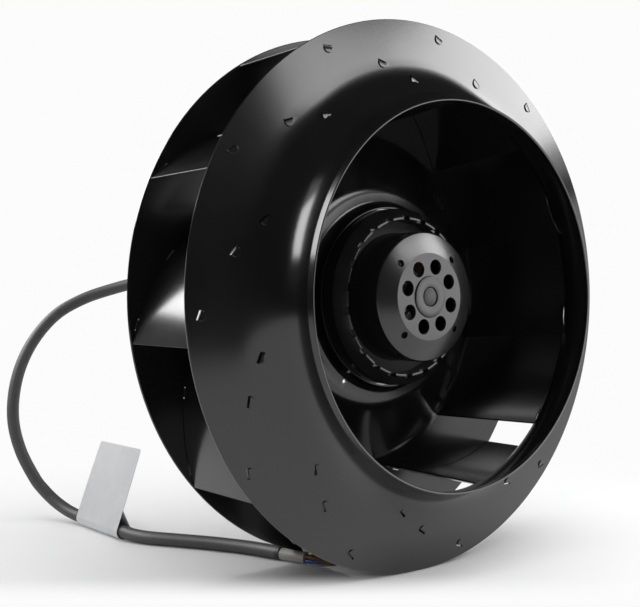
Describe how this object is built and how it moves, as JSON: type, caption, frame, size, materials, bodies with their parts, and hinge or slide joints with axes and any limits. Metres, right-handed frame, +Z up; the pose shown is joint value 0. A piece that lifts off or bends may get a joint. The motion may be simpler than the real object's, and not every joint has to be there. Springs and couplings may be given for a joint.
{
  "type": "centrifugal plug fan",
  "caption": "Backward-curved centrifugal plug fan: a black sheet-steel impeller on an external-rotor motor with a trailing lead.",
  "frame": {"origin": "centre of the motor's rear mounting face, on the fan's axis", "axes": "+Y along the fan's axis, out of the motor's rear mounting face and away from the inlet; +Z up as pictured; +X to the right, seen from the inlet"},
  "size_m": [0.355, 0.3619, 0.355],
  "materials": {
    "black_paint": "black satin powder coat",
    "motor_black": "black semi-gloss coat",
    "cast_aluminium": "as cast, machined on its faces",
    "bright_steel": "ground",
    "blued_steel": "blued spring steel",
    "core_steel": "stacked laminations",
    "copper_wire": "enamelled copper wire",
    "nylon": "natural nylon",
    "rubber": "matte black",
    "cable_grey": "dark grey PVC",
    "label_white": "satin white film",
    "sleeve_grey": "pale beige-grey inner sheath",
    "core_brown": "satin PVC",
    "core_blue": "satin PVC",
    "core_black": "satin PVC",
    "core_green_yellow": "satin PVC with two colours",
    "tinned_copper": "tinned"
  },
  "bodies": {
    "stator": {"motor_flange": "cast_aluminium", "stator_core": "core_steel", "front_insulator": "nylon", "rear_insulator": "nylon", "front_winding": "copper_wire", "rear_winding": "copper_wire", "front_bearing_outer_ring": "bright_steel", "rear_bearing_outer_ring": "bright_steel", "bearing_spacer": "cast_aluminium", "spring_washer": "blued_steel", "cable_gland": "rubber", "cable": "cable_grey", "cable_label": "label_white", "cable_sleeve": "sleeve_grey", "core_brown": "core_brown", "core_blue": "core_blue", "core_black": "core_black", "core_green_yellow": "core_green_yellow", "ferrule_brown": "tinned_copper", "ferrule_blue": "tinned_copper", "ferrule_black": "tinned_copper", "ferrule_green_yellow": "tinned_copper"},
    "rotor": {"rotor_cup": "motor_black", "rotor_hub": "motor_black", "rotor_core": "core_steel", "front_end_ring": "cast_aluminium", "rear_end_ring": "cast_aluminium", "shaft": "bright_steel", "shaft_spacer": "bright_steel", "shaft_circlip": "blued_steel", "front_bearing_inner_ring": "bright_steel", "rear_bearing_inner_ring": "bright_steel", "front_ball_cage": "bright_steel", "rear_ball_cage": "bright_steel", "back_plate": "black_paint", "front_shroud": "black_paint", "blade_01": "black_paint", "blade_02": "black_paint", "blade_03": "black_paint", "blade_04": "black_paint", "blade_05": "black_paint", "blade_06": "black_paint", "blade_07": "black_paint", "blade_08": "black_paint", "blade_09": "black_paint", "blade_10": "black_paint", "blade_11": "black_paint"}
  },
  "joints": [
    {"name": "wheel_spin", "type": "hinge", "parent": "stator", "child": "rotor", "pos_m": [0, 0, 0], "axis": [0, 1, 0], "continuous": true}
  ]
}
